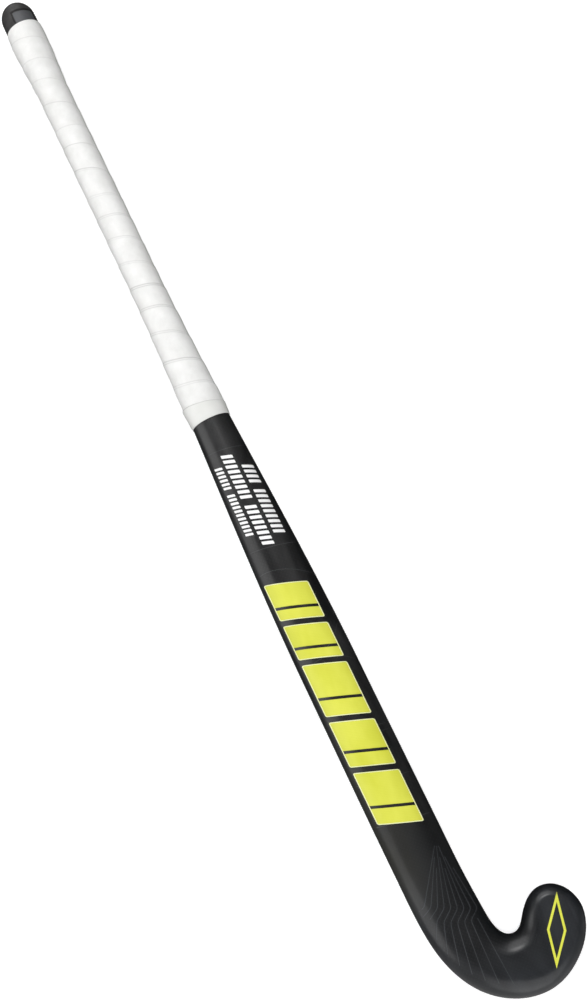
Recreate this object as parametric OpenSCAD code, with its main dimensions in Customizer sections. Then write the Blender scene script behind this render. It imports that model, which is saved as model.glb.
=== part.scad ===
// Composite field hockey stick, right-handed, lying on its flat striking face with the rounded back up.
// Millimetres. X runs from the butt to the bottom of the head, Y towards the toe and Z upwards.
// The origin is the middle of the stick's footprint, on the surface that the face lies on.

/* [Stick] */
// Length from the butt to the bottom of the head
stick_len = 927; // [900:1:960]
// Deepest gap under the face when the stick lies on it
bow = 20; // [5:0.5:24]
// Distance of the deepest gap from the bottom of the head
bow_at = 300; // [240:10:400]
// Length of the flat face at the head before the bow starts
face_len = 75; // [70:1:90]

/* [Shell] */
// Diameter of the bare handle
handle_d = 24; // [23:0.5:27]
// Width of the lower shaft
shaft_w = 46; // [42:0.5:47]
// Thickness of the lower shaft
shaft_t = 22; // [20:0.5:24]
// How much thinner the toe is than the shaft
toe_drop = 3; // [0:0.5:5]
// Wall of the carbon shell
wall = 2.2; // [1.6:0.1:2.6]
// Radius of the lower edge that borders the striking face
face_edge = 5; // [4:0.5:6]
// Distance from the head's bottom to the top of the handle's taper
taper_top = 643; // [620:1:660]
// Distance from the head's bottom to the foot of the taper
taper_foot = 274; // [250:1:300]

/* [Grip] */
// Thickness of the wound grip tape
wrap_t = 1.2; // [1:0.1:1.6]
// Turns that the grip tape takes round the handle
wrap_turns = 17; // [14:1:20]
// Height of the tape's edge over the turn before it
wrap_step = 0.35; // [0.1:0.05:0.5]
// Thickness of the self-adhesive underlay
underlay_t = 0.3; // [0.2:0.05:0.5]
// Distance from the head's bottom to the lower end of the grip
grip_foot = 500; // [490:1:525]
// Length of the finishing tape
tape_len = 18; // [15:1:25]
// Thickness of the finishing tape
tape_t = 0.4; // [0.3:0.05:0.6]

/* [Butt] */
// Visible length of the rubber end cap
cap_len = 29; // [24:1:32]
// Radius of the end cap
cap_r = 14.9; // [14.5:0.1:15.5]
// Height of the cap's flared collar under the grip
collar_h = 2.2; // [1.5:0.1:2.6]
// Length that the plug reaches into the handle
plug_len = 32; // [20:1:45]

/* [Printed trim] */
// Thickness of the printed trim
print_t = 0.1; // [0.08:0.01:0.2]
// Slant of the printed bars and blocks, in degrees
print_slant = 20; // [5:1:25]

/* [Hidden] */

$fn = 72;
clear = 0.05;         // gap between nested layers
cap_clear = 0.25;     // gap between the cap's bore and the handle
skirt_t = 0.25;       // thickness of the cap's skirt over its bore, apart from the collar
web_t = 1.6;          // thickness of the web between the two foam cores
liner_t = 1;          // thickness of the liner behind the striking face
round_share = 0.96;   // share of the half width that a round edge takes
heel_round = 18;      // reach of the rounded back edge round the heel
toe_round = 8;        // reach of the rounded back edge at the toe
face_line = 6;        // height of the widest line over the striking face
head_start = 117.5;   // distance from the head's bottom to where the outline leaves the shaft
head_w = 47;          // width where the outline leaves the shaft
flare_at = 887;       // distance from the head's bottom to the widest ring of the grip's flare
flare_up = 35;        // length of the flare on the butt side
flare_down = 62;      // length of the flare on the head side
shell_end = 916;      // distance from the head's bottom to the shell's open end
axis_from = 863;      // distance from the head's bottom to the other point of the cap's straight axis
core_end = 884;       // distance from the head's bottom to the top of the foam cores
core_foot = 124;      // distance from the head's bottom to the foot of the foam cores
head_path = 187;      // length of the middle line from head_start to the tip of the toe
toe_top = 91.8;       // distance of the toe's crest from the shaft's middle line
head_rings = 32;      // rings of the mesh round the head, before the tip of the toe

// Points of the head's two edges as [x, y, heading], x from the head's bottom, heading in degrees.
// Each stretch between two points is one smooth curve that keeps both headings.
OUTER = [[-head_start, -head_w / 2, 0], [-63.5, -21.4, 8.5], [-13.5, 4.3, 51], [0, 41, 90],
    [-8, 67.3, 122], [-29.8, 88.2, 154], [-43.9, toe_top, 180], [-53.9, 89.6, 203]];
INNER = [[-head_start, head_w / 2, 0], [-67.5, 25.5, 3.5], [-46.6, 38, 90], [-56, 49.8, 141],
    [-68, 69.9, 90], [-53.9, 89.6, 23]];

place = [stick_len / 2, -(toe_top - head_w / 2) / 2, 0];
cap_edge = stick_len - cap_len;
skirt_end = flare_at - flare_down + 12;

// Small curve helpers
function mix(a, b, f) = a + (b - a) * f;
function ease(f) = let (c = min(1, max(0, f))) c * c * (3 - 2 * c);
function ahead(h) = [cos(h), sin(h)];
function steps(a, b, n) = [for (i = [0:n]) mix(a, b, i / n)];

// Height of the shell's underside over the floor at distance x from the head's bottom, x negative
function bow_share(w) = let (p = (bow_at - face_len) / (flare_at - face_len), c = p * p * p / (2 - 3 * p))
    (1 - w) * w * w / (w * w + c);
function face_z(x) = let (w = max(0, (-x - face_len) / (flare_at - face_len)),
    p = (bow_at - face_len) / (flare_at - face_len))
    bow * bow_share(w) / bow_share(p) + (under_wrap(flare_at) + wrap_t + wrap_step) * w * w;

// Width, thickness and roundness along the shaft
function taper(x) = ease((taper_top + x) / (taper_top - taper_foot));
function shell_w(x) = mix(handle_d, shaft_w, taper(x))
    + (head_w - shaft_w) * ease((taper_foot + x) / (taper_foot - head_start));
function shell_t(x, y) = mix(handle_d, shaft_t, taper(x))
    - (x > -head_start ? toe_drop * ease((y - 20) / (toe_top - 20)) : 0);

// A section is [outer point, inner point, outer normal, inner normal, outer back reach, inner back
// reach, face reach, height of the widest line].
function shaft_section(x) = let (h = shell_w(x) / 2, k = taper(x), r = h * round_share)
    [[x, -h], [x, h], [0, 1], [0, -1], r, r, mix(r, face_edge, k), mix(handle_d / 2, face_line, k)];
function edge_curve(a, b, f) = let (p = [a.x, a.y], q = [b.x, b.y],
    h = norm(q - p) * 2 / 3 / (1 + cos((b[2] - a[2]) / 2)),
    c = p + h * ahead(a[2]), d = q - h * ahead(b[2]), g = 1 - f)
    [g * g * g * p + 3 * g * g * f * c + 3 * g * f * f * d + f * f * f * q,
    3 * g * g * (c - p) + 6 * g * f * (d - c) + 3 * f * f * (q - d)];
function stretch(a, b) = let (t = abs(b[2] - a[2]) / 2)
    norm([b.x - a.x, b.y - a.y]) * (t < 1 ? 1 : t * PI / 180 / sin(t));
function total(edge, n) = n == 0 ? 0 : total(edge, n - 1) + stretch(edge[n - 1], edge[n]);
function on_edge(edge, run, i = 0) = let (s = stretch(edge[i], edge[i + 1]))
    run > s && i < len(edge) - 2 ? on_edge(edge, run - s, i + 1)
    : edge_curve(edge[i], edge[i + 1], min(1, run / s));
function head_section(f) = let (o = on_edge(OUTER, pow(f, 1.1) * total(OUTER, len(OUTER) - 1)),
    i = on_edge(INNER, f * total(INNER, len(INNER) - 1)),
    a = o[1] / norm(o[1]), b = i[1] / norm(i[1]), r = head_w / 2 * round_share,
    heel = mix(r, heel_round, ease(f / 0.3)))
    [o[0], i[0], [-a.y, a.x], [b.y, -b.x], mix(heel, toe_round, ease((f - 0.55) / 0.4)),
    mix(r, toe_round, ease((f - 0.2) / 0.6)), face_edge, face_line];
function section(s) = s < 0 ? shaft_section(s * head_path - head_start) : head_section(min(1, s));

// Half of a section's ring, from the middle of the back (m = 0) to the middle of the face (m = HALF)
CROWN = 2;   // steps over the middle of the back
BACK = 6;    // steps round the back's edge down to the widest line
FACE = 3;    // steps round the lower edge
HALF = CROWN + BACK + FACE + 1;
function turn(m) = m <= CROWN ? 90 : m <= CROWN + BACK ? 90 * (1 - (m - CROWN) / BACK)
    : max(-90, -90 * (m - CROWN - BACK) / FACE);
function inward(m) = m < CROWN ? 0.5 * (1 - m / CROWN) : m == HALF ? 0.5 : 0;
// One point of the ring, inset from the skin, on the outer (0) or inner (1) side; keep is the
// distance that the point stays from the section's middle plane.
function ring_point(sec, side, m, inset, floor_in, keep) = let (
    t = turn(m), reach = max(0.5, (t >= 0 ? sec[4 + side] : sec[6]) - inset),
    d = inset + reach * (1 - cos(t)),
    own = sec[side] + sec[2 + side] * d, other = sec[1 - side] + sec[3 - side] * d,
    span = max(0.001, norm(other - own)), v = min(inward(m), 0.5 - keep / span),
    p = own + (other - own) * v, top = shell_t(p.x, p.y) - inset)
    [p.x, p.y, face_z(p.x) + sec[7] + (t >= 0 ? top - sec[7] : sec[7] - floor_in) * sin(t)];
function half_ring(sec, side, inset, floor_in, keep = 0) =
    [for (m = [0:HALF]) ring_point(sec, side, m, inset, floor_in, keep)];
function ring(sec, inset, floor_in) = concat(half_ring(sec, 0, inset, floor_in),
    [for (m = [HALF - 1:-1:1]) ring_point(sec, 1, m, inset, floor_in, 0)]);

// Faces between rings of n points; ring number i starts at point from + i * n
function band(from, n, i, flip) = [for (j = [0:n - 1]) let (k = (j + 1) % n,
    a = from + i * n + j, b = from + i * n + k, c = b + n, d = a + n) each flip ? [[a, b, c], [a, c, d]]
    : [[a, c, b], [a, d, c]]];
function bands(from, n, rings, flip) = [for (i = [0:1:rings - 2]) each band(from, n, i, flip)];
// Faces that close the last ring onto the toe's tip, where its two sides meet point by point
function tip(from, last, flip) = let (n = 2 * HALF) [for (j = [0:n - 1]) let (k = (j + 1) % n,
    a = from + j, b = from + k, c = last + min(k, n - k), d = last + min(j, n - j))
    each flip ? [[a, b, c], [a, c, d]] : [[a, c, b], [a, d, c]]];
function forward(a, n) = [for (j = [0:n - 1]) a + j];
function backward(a, n) = [for (j = [n - 1:-1:0]) a + j];

// A solid bar through rings, closed flat at both ends
module bar(rings) {
    n = len(rings[0]);
    polyhedron([for (r = rings) each r], concat(bands(0, n, len(rings), false),
        [forward(0, n), backward((len(rings) - 1) * n, n)]));
}

// A sleeve between outer and inner rings, open along its middle
module sleeve(outside, inside) {
    n = len(outside[0]);
    start = len(outside) * n;
    out_end = start - n;
    in_end = start + (len(inside) - 1) * n;
    polyhedron(concat([for (r = outside) each r], [for (r = inside) each r]),
        concat(bands(0, n, len(outside), false), bands(start, n, len(inside), true),
        [for (j = [0:n - 1]) let (k = (j + 1) % n) each [[j, k, start + k], [j, start + k, start + j]]],
        [for (j = [0:n - 1]) let (k = (j + 1) % n)
            each [[out_end + j, in_end + k, out_end + k], [out_end + j, in_end + j, in_end + k]]]));
}

// A thin slab with the same grid of points above and below; rows of equal length
module slab(top, bottom) {
    rows = len(top);
    n = len(top[0]);
    under = rows * n;
    polyhedron(concat([for (r = top) each r], [for (r = bottom) each r]), concat(
        [for (i = [0:rows - 2], j = [0:n - 2]) let (a = i * n + j) each
            [[a, a + n, a + 1], [a + 1, a + n, a + n + 1]]],
        [for (i = [0:rows - 2], j = [0:n - 2]) let (a = under + i * n + j) each
            [[a, a + 1, a + n], [a + 1, a + n + 1, a + n]]],
        [for (j = [0:n - 2]) each [[j, j + 1, under + j + 1], [j, under + j + 1, under + j]]],
        [for (j = [0:n - 2]) let (a = under - n + j, b = a + under) each
            [[a, b, a + 1], [a + 1, b, b + 1]]],
        [for (i = [0:rows - 2]) let (a = i * n, b = a + under) each [[a, b, a + n], [a + n, b, b + n]]],
        [for (i = [0:rows - 2]) let (a = i * n + n - 1, b = a + under) each
            [[a, a + n, b], [a + n, b + n, b]]]));
}

// Places along the stick, as section numbers: negative on the shaft, 0 to 1 round the head
function at(x) = (x + head_start) / head_path;
SHAFT_STOPS = steps(at(-shell_end), at(-head_start - 20), 38);
HEAD_STOPS = steps(0, 1, head_rings);
SHELL_STOPS = concat(SHAFT_STOPS, [for (i = [0:head_rings - 1]) HEAD_STOPS[i]]);

// Carbon shell: handle, shaft and hooked head in one moulding, hollow and open at the butt
module shaft_shell() {
    stops = len(SHELL_STOPS);
    n = 2 * HALF;
    skin = [for (s = SHELL_STOPS) each ring(section(s), 0, 0)];
    cavity = [for (s = SHELL_STOPS) each ring(section(s), wall, wall)];
    skin_tip = half_ring(section(1), 0, 0, 0);
    cavity_tip = half_ring(section(1), 0, wall, wall);
    a = stops * n;
    b = a + HALF + 1;
    c = b + a;
    color("#17181c") translate(place) polyhedron(concat(skin, skin_tip, cavity, cavity_tip), concat(
        bands(0, n, stops, false), tip(a - n, a, false), bands(b, n, stops, true), tip(c - n, c, true),
        [for (j = [0:n - 1]) let (k = (j + 1) % n) each [[j, k, b + k], [j, b + k, b + j]]]));
}

// Upright web that ties the face to the back between the two cores
module centre_web() {
    inset = wall + clear;
    color("#2b2d31") translate(place) bar([for (x = steps(-core_end, -core_foot, 30))
        let (s = shaft_section(x), low = ring_point(s, 0, HALF, inset, inset, 0),
        high = ring_point(s, 0, 0, inset, inset, 0), y = web_t / 2, drop = 0.05)
        [[x, -y, high.z - drop], [x, -y, low.z], [x, y, low.z], [x, y, high.z - drop]]]);
}

// Foam core on the outer (0) or inner (1) side of the web
module foam_core(side) {
    inset = wall + clear;
    rings = [for (x = steps(-core_end, -core_foot, 30))
        half_ring(shaft_section(x), side, inset, inset, web_t / 2 + clear)];
    color("#d8cda6") translate(place) bar([for (r = rings)
        side == 0 ? r : [for (m = [HALF:-1:0]) r[m]]]);
}

module foam_core_toe_side() {
    foam_core(1);
}

module foam_core_heel_side() {
    foam_core(0);
}

// Dense core that fills the hooked head over the liner; its flat start is a fan from the outer edge
module head_core() {
    inset = wall + clear;
    n = 2 * HALF;
    widest = CROWN + BACK;
    low = wall + liner_t + 2 * clear;
    rings = [for (i = [0:head_rings - 1]) ring(section(HEAD_STOPS[i]), inset, low)];
    last = half_ring(section(1), 0, inset, low);
    a = len(rings) * n;
    color("#b89b62") translate(place) polyhedron(concat([for (r = rings) each r], last),
        concat(bands(0, n, len(rings), false), tip(a - n, a, false),
        [[for (j = [0:n - 1]) (widest + j) % n]]));
}

// Impact liner on the cavity's floor, behind the striking face
module face_liner() {
    stops = [for (i = [0:head_rings - 2]) section(HEAD_STOPS[i])];
    low = wall + clear;
    color("#c9a227") translate(place) bar([for (s = stops) let (d = face_edge + clear,
        a = s[0] + s[2] * d, b = s[1] + s[3] * d, za = face_z(a.x) + low, zb = face_z(b.x) + low)
        [[a.x, a.y, za + liner_t], [a.x, a.y, za], [b.x, b.y, zb], [b.x, b.y, zb + liner_t]]]);
}

// Puts a shape turned about Z onto the handle's axis, its height measured from the butt
function axis_z(x) = face_z(x) + handle_d / 2;
axis_tilt = atan((axis_z(-axis_from) - axis_z(-shell_end)) / (shell_end - axis_from));
module on_handle() {
    translate(place + [-shell_end, 0, axis_z(-shell_end)]) rotate([0, 90 - axis_tilt, 0])
        translate([0, 0, shell_end - stick_len]) children();
}

// Stepped bung that closes the shell's open end
module butt_plug() {
    flange_t = 1.2;
    bore_r = handle_d / 2 - wall - 0.15;
    flange_r = handle_d / 2 - 1;
    mouth = stick_len - shell_end;
    color("#5b5e63") on_handle() rotate_extrude() polygon([[0, mouth - flange_t],
        [flange_r, mouth - flange_t], [flange_r, mouth - clear], [bore_r, mouth - clear],
        [bore_r, plug_len], [bore_r - 1.5, plug_len + 2], [bore_r - 3.5, plug_len + 2],
        [bore_r - 3.5, mouth + 2], [0, mouth + 2]]);
}

// Height of the collar over the handle at distance u from the head's bottom
function collar(u) = let (l = u > flare_at ? flare_up : flare_down,
    f = min(1, abs(u - flare_at) / l)) collar_h * (1 + cos(180 * f)) / 2;

// Rubber end cap: a dome with a flared collar that runs under the grip
module end_cap() {
    bore = handle_d / 2 + cap_clear;
    lip = cap_r + 0.2;
    seat = stick_len - shell_end - 1.5;
    rib_depth = 0.35;
    panel_w = 10;
    panel_depth = 1.2;
    panel_turn = 25;
    panel_high = 12.5;
    panel_from = cap_len - 14;
    rib_step = 3;
    color("#222326") on_handle() difference() {
        rotate_extrude() polygon(concat([for (a = [0:7.5:90]) [cap_r * sin(a), cap_r * (1 - cos(a))]],
            [[lip, cap_len - 0.1]],
            [for (u = steps(cap_edge - 0.1, skirt_end, 12)) [bore + skirt_t + collar(u), stick_len - u]],
            [[bore, stick_len - skirt_end], [bore, seat], [0, seat]]));
        // Fine grip ribs round the dome
        for (i = [0:3]) translate([0, 0, cap_len - (2 + i) * rib_step]) rotate_extrude()
            translate([cap_r + 0.15, 0]) circle(r = rib_depth, $fn = 16);
        // Recessed panel on the back, turned towards the toe side
        rotate([0, 0, 180 - panel_turn]) translate([cap_r - panel_depth, -panel_w / 2, panel_from])
            cube([2 * panel_depth, panel_w, panel_high]);
    }
}

// Layers over the bare handle, as distances out from the shell at distance u from the head's bottom
function under_wrap(u) = max(underlay_t + 2 * clear,
    u > skirt_end - 1 ? collar(u) + cap_clear + skirt_t + clear : 0);
function over(x, out) = ring(shaft_section(x), -out, -out);
function slanted(points, x, lean) = [for (p = points) let (h = shell_w(x) / 2, q = p.x + lean * p.y / h)
    [q, p.y, p.z + face_z(q) - face_z(x)]];

// Self-adhesive underlay between the shell and the grip
module grip_underlay() {
    stops = steps(2 - skirt_end, -grip_foot - 2, 16);
    color("#c8c8c2") translate(place) sleeve([for (x = stops) over(x, clear + underlay_t)],
        [for (x = stops) over(x, clear)]);
}

// Share of the grip's thickness left at distance x, where its foot is cut thin under the tape
function foot_thin(x) = mix(0.22, 1, ease((1 - x - grip_foot) / (tape_len - 3)));
function grip_out(x, rise) = under_wrap(-x) + (wrap_t + rise) * foot_thin(x);

// Cushioned grip tape wound down the handle, each turn lapping over the one before
module grip_wrap() {
    pitch = (cap_edge - grip_foot) / wrap_turns;
    lean = 4;
    edge = 0.8;
    outside = [for (i = [0:wrap_turns - 1]) let (x = -cap_edge + 0.1 + i * pitch, l = i == 0 ? 0 : lean,
        half = x + pitch / 2) each [slanted(over(x, grip_out(x, 0)), x, l),
        slanted(over(x + edge, grip_out(x + edge, wrap_step)), x + edge, l),
        slanted(over(half, grip_out(half, wrap_step / 2)), half, l)]];
    color("#f0f0ec") translate(place) sleeve(concat(outside, [over(-grip_foot, grip_out(-grip_foot, 0))]),
        [for (x = steps(-cap_edge + 0.1, -grip_foot, 40)) over(x, under_wrap(-x))]);
}

// Finishing tape that binds the thinned end of the grip down onto the shaft
module finishing_tape() {
    foot = -grip_foot + 4;
    bed = [for (x = steps(foot - tape_len, foot - 4, 6)) [x, grip_out(x, wrap_step) + clear]];
    down = [[foot - 2, grip_out(-grip_foot, 0) / 2], [foot - 0.5, clear], [foot, clear]];
    stops = concat(bed, down);
    color("#e9e9e4") translate(place) sleeve([for (s = stops) over(s[0], s[1] + tape_t)],
        [for (s = stops) over(s[0], s[1])]);
}

// Points along the head's two edges as [point, inward normal, back reach]
HEAD_EDGE = [for (i = [0:60]) let (sec = section(i / 60)) each [[sec[0], sec[2], sec[4]],
    [sec[1], sec[3], sec[5]]]];
// Point of the back over plan point p, raised by lift
function on_back(p, lift) = let (h = shell_w(p.x) / 2, far = [for (e = HEAD_EDGE) norm(p - e[0])],
    e = p.x < -head_start ? [[p.x, h], [0, 1], h * round_share] : HEAD_EDGE[search(min(far), far)[0]],
    d = p.x < -head_start ? h - abs(p.y) : (p - e[0]) * e[1],
    line = p.x < -head_start ? mix(handle_d / 2, face_line, taper(p.x)) : face_line,
    t = acos(1 - min(1, max(0, d) / e[2])))
    [p.x, p.y, face_z(p.x) + line + (shell_t(p.x, p.y) - line) * sin(t) + lift];

// Slanted printed patch from x0 to x1 along the shaft and y0 to y1 across it
module patch(x0, x1, y0, y1, from, thick) {
    nx = max(1, ceil((x1 - x0) / 14));
    ny = max(2, ceil((y1 - y0) / 3));
    function sheet(lift) = [for (x = steps(x0, x1, nx)) [for (y = steps(y1, y0, ny))
        on_back([x + y * tan(print_slant), y], lift)]];
    slab(sheet(from + thick), sheet(from));
}

// Printed line along a plan path, as wide as given
module line(path, width, from, thick) {
    last = len(path) - 1;
    function rail(side, lift) = [for (i = [0:last]) let (v = path[min(last, i + 1)] - path[max(0, i - 1)])
        on_back(path[i] + side * [-v.y, v.x] / norm(v), lift)];
    slab([rail(-width / 2, from + thick), rail(width / 2, from + thick)],
        [rail(-width / 2, from), rail(width / 2, from)]);
}

// Rows of white strokes below the grip, each in two groups: [middle line, height, start, strokes in
// the first group, strokes in the second group, step, width of a stroke]
BAR_ROWS = [[11.2, 8.2, -452.6, 4, 9, 4.45, 2.6], [-0.3, 8.8, -462, 9, 8, 4.5, 2.7],
    [-10.6, 6.2, -452.2, 6, 11, 3.42, 2]];
module white_bars() {
    color("#f2f2f0") translate(place) for (r = BAR_ROWS, i = [0:r[3] + r[4]])
        if (i != r[3]) let (x = r[2] + i * r[5])
            patch(x, x + r[6], r[0] - r[1] / 2, r[0] + r[1] / 2, clear, print_t);
}

// Five yellow blocks down the shaft as [start, length], each cut into two slanted bars
BLOCKS = [[-349, 29], [-314, 27], [-281, 41], [-234, 35], [-193, 40]];
block_low = -17.2;
block_high = 13.8;
module colour_blocks() {
    cut_at = 0.64;
    cut_w = 2.4;
    color("#dfe83c") translate(place) for (b = BLOCKS) {
        cut = b[0] + b[1] * cut_at;
        patch(b[0], cut, block_low, block_high, clear, print_t);
        patch(cut + cut_w, b[0] + b[1], block_low, block_high, clear, print_t);
    }
}

// Pale keyline round each block
module block_keylines() {
    gap = 0.15;
    key = 0.7;
    color("#f4f6d0") translate(place) for (b = BLOCKS) {
        x0 = b[0] - gap;
        x1 = b[0] + b[1] + gap;
        patch(x0 - key, x0, block_low - gap - key, block_high + gap + key, clear, print_t);
        patch(x1, x1 + key, block_low - gap - key, block_high + gap + key, clear, print_t);
        patch(x0 + gap, x1 - gap, block_high + gap, block_high + gap + key, clear, print_t);
        patch(x0 + gap, x1 - gap, block_low - gap - key, block_low - gap, clear, print_t);
    }
}

// Outlined lozenge on the toe
module toe_emblem() {
    middle = [-37, 66.4];
    long = 26.5;
    wide = 7;
    line_w = 0.26;
    lean = 28;
    side_steps = 8;
    corners = [[long, 0], [0, wide], [-long, 0], [0, -wide]];
    function corner(i, k) = let (p = corners[i % 4] * k)
        middle + [p.x * cos(lean) + p.y * sin(lean), -p.x * sin(lean) + p.y * cos(lean)];
    function frame(k, lift) = [for (i = [3:-1:0], f = [side_steps - 1:-1:0])
        on_back(mix(corner(i, k), corner(i + 1, k), f / side_steps), lift)];
    low = clear;
    high = clear + print_t;
    k = 1 - line_w;
    color("#dfe83c") translate(place)
        sleeve([frame(1, low), frame(1, high)], [frame(k, low), frame(k, high)]);
}

// Faint lines that spread from one place on the shaft and fan out over the heel, each with two bends
function arc(a, b, c, f) = (1 - f) * (1 - f) * a + 2 * f * (1 - f) * b + f * f * c;
function path(stops, n) = concat([for (i = [0:len(stops) - 2]) each
    [for (t = [0:n - 1]) mix(stops[i], stops[i + 1], t / n)]], [stops[len(stops) - 1]]);
module fan_lines() {
    lines = 10;
    source = [-131.6, 16.2];
    color("#4a4c50") translate(place) for (i = [0:lines - 1]) let (f = i / (lines - 1),
        bend = mix([-91.5, -13.2], [-72, 26], f),
        back_turn = arc([-89, -21], [-71.5, -4.5], [-68, 18.5], f),
        end = arc([-112, -17.1], [-33.5, -23.3], [-17.5, 21.3], f),
        first = f == 1 ? [] : [mix(source, bend, 0.1 + 0.16 * (i % 3)), bend])
        line(path(concat(first, [back_turn], end.x > back_turn.x + 4 ? [end] : []), 5), 0.6, clear, print_t);
}

// Faint arcs across the shaft: [place at the middle line, slope, bend]
SWEEPS = [[-467.5, 2.6, 0], [-380.5, 4, 0], [-361, 8, 5], [-291, 1.4, -20], [-286, 2, 10],
    [-226, 3, 0], [-221, 3, 0], [-187, 4, 0], [-154, 4, 0]];
module sweep_lines() {
    color("#3c3e42") translate(place) for (w = SWEEPS)
        line([for (c = steps(-0.86, 0.9, 14)) let (x = w[0] + w[1] * c + w[2] * c * c)
            [x, c * shell_w(x) / 2]], 0.55, 0.01, 0.03);
}

shaft_shell();
centre_web();
foam_core_toe_side();
foam_core_heel_side();
head_core();
face_liner();
butt_plug();
end_cap();
grip_underlay();
grip_wrap();
finishing_tape();
white_bars();
colour_blocks();
block_keylines();
toe_emblem();
fan_lines();
sweep_lines();
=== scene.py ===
import math

import bmesh
import bpy
import numpy as np
from mathutils import Matrix, Vector
from mathutils.bvhtree import BVHTree


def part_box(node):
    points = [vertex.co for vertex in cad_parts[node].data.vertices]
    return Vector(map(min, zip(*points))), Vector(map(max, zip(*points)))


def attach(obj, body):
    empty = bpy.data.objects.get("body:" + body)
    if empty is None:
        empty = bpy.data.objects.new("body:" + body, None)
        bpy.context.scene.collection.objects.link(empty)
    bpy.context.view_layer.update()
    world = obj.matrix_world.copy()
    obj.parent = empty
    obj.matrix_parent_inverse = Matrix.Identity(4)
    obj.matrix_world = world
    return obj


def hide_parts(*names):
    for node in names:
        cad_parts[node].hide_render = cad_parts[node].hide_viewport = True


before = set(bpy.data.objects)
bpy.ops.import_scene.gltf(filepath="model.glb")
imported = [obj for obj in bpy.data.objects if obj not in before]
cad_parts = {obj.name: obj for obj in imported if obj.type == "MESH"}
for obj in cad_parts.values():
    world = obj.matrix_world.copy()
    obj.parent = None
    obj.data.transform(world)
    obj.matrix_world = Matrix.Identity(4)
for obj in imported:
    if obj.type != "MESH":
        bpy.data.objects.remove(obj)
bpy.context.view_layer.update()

MM = 0.001
rng = np.random.default_rng(11)

# ---------------------------------------------------------------- the stick's shape

STICK_LEN = 927.0
BOW, BOW_AT, FACE_LEN = 20.0, 300.0, 75.0             # deepest gap under the face, and the flat face
HANDLE_D, SHAFT_W, SHAFT_T = 24.0, 46.0, 22.0
TOE_DROP, TOE_FROM = 3.0, 20.0                        # how much the toe thins, and from which y
WALL, FACE_EDGE, FACE_LINE = 2.2, 5.0, 6.0            # wall, lower edge's radius, widest line's height
TAPER_TOP, TAPER_FOOT = 643.0, 274.0
ROUND_SHARE, HEEL_ROUND, TOE_ROUND = 0.96, 18.0, 8.0  # share of the half width, then reaches
HEAD_START, HEAD_W, TOE_TOP = 117.5, 47.0, 91.8
SHELL_END, AXIS_FROM = 916.0, 863.0                   # the handle's axis is straight between these
FLARE_AT, FLARE_UP, FLARE_DOWN = 887.0, 35.0, 62.0
WRAP_T, WRAP_STEP, UNDERLAY_T, CLEAR = 1.2, 0.35, 0.3, 0.05
CAP_LEN, CAP_R, CAP_CLEAR, LIP_GAP = 29.0, 14.9, 0.25, 0.1
COLLAR_H, SKIRT_T, SKIRT_END = 2.2, 0.25, FLARE_AT - FLARE_DOWN + 12
GRIP_FOOT, TAPE_TOP, TAPE_FOOT = 500.0, 514.0, 496.0

# Points of the head's two edges: x, y and heading in degrees. Each stretch between two points is
# one smooth curve that keeps both headings.
OUTER = [(-HEAD_START, -HEAD_W / 2, 0), (-63.5, -21.4, 8.5), (-13.5, 4.3, 51), (0, 41, 90),
         (-8, 67.3, 122), (-29.8, 88.2, 154), (-43.9, TOE_TOP, 180), (-53.9, 89.6, 203)]
INNER = [(-HEAD_START, HEAD_W / 2, 0), (-67.5, 25.5, 3.5), (-46.6, 38, 90), (-56, 49.8, 141),
         (-68, 69.9, 90), (-53.9, 89.6, 23)]

# The head's bottom and the shaft's middle line in the row frame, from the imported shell
shell_low, shell_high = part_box("shaft_shell")
ORIGIN = np.array([shell_high.x / MM, shell_low.y / MM + HEAD_W / 2, 0])


def mix(a, b, f):
    """Share f of the way from a to b."""
    return a + (b - a) * f


def ease(f):
    """0 to 1 as f goes from 0 to 1, starting and ending softly."""
    c = np.clip(f, 0, 1)
    return c * c * (3 - 2 * c)


def collar(u):
    """Height of the cap's collar over the handle at distance u from the head's bottom."""
    f = np.minimum(1, np.abs(u - FLARE_AT) / np.where(u > FLARE_AT, FLARE_UP, FLARE_DOWN))
    return COLLAR_H * (1 + np.cos(np.pi * f)) / 2


def under_wrap(u):
    """Height of the grip's underside over the bare handle."""
    over_collar = np.where(u > SKIRT_END - 1, collar(u) + CAP_CLEAR + SKIRT_T + CLEAR, 0)
    return np.maximum(UNDERLAY_T + 2 * CLEAR, over_collar)


BOW_PEAK = (BOW_AT - FACE_LEN) / (FLARE_AT - FACE_LEN)


def bow_share(w):
    """Shape of the bow, highest at BOW_PEAK, at share w of the way from the face to the flare."""
    return (1 - w) * w * w / (w * w + BOW_PEAK ** 3 / (2 - 3 * BOW_PEAK))


def face_z(x):
    """Height of the shell's underside over the floor."""
    w = np.maximum(0, (-x - FACE_LEN) / (FLARE_AT - FACE_LEN))
    grip_t = float(under_wrap(np.float64(FLARE_AT))) + WRAP_T + WRAP_STEP
    return BOW * bow_share(w) / bow_share(BOW_PEAK) + grip_t * w * w


def taper(x):
    """How far the round handle has turned into the flat shaft at x, 0 to 1."""
    return ease((TAPER_TOP + x) / (TAPER_TOP - TAPER_FOOT))


def shell_w(x):
    """Width of the shell at x."""
    return (mix(HANDLE_D, SHAFT_W, taper(x))
            + (HEAD_W - SHAFT_W) * ease((TAPER_FOOT + x) / (TAPER_FOOT - HEAD_START)))


def shell_t(x, y):
    """Thickness of the shell at x, less towards the toe."""
    drop = TOE_DROP * ease((y - TOE_FROM) / (TOE_TOP - TOE_FROM))
    return mix(HANDLE_D, SHAFT_T, taper(x)) - np.where(x > -HEAD_START, drop, 0)


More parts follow.
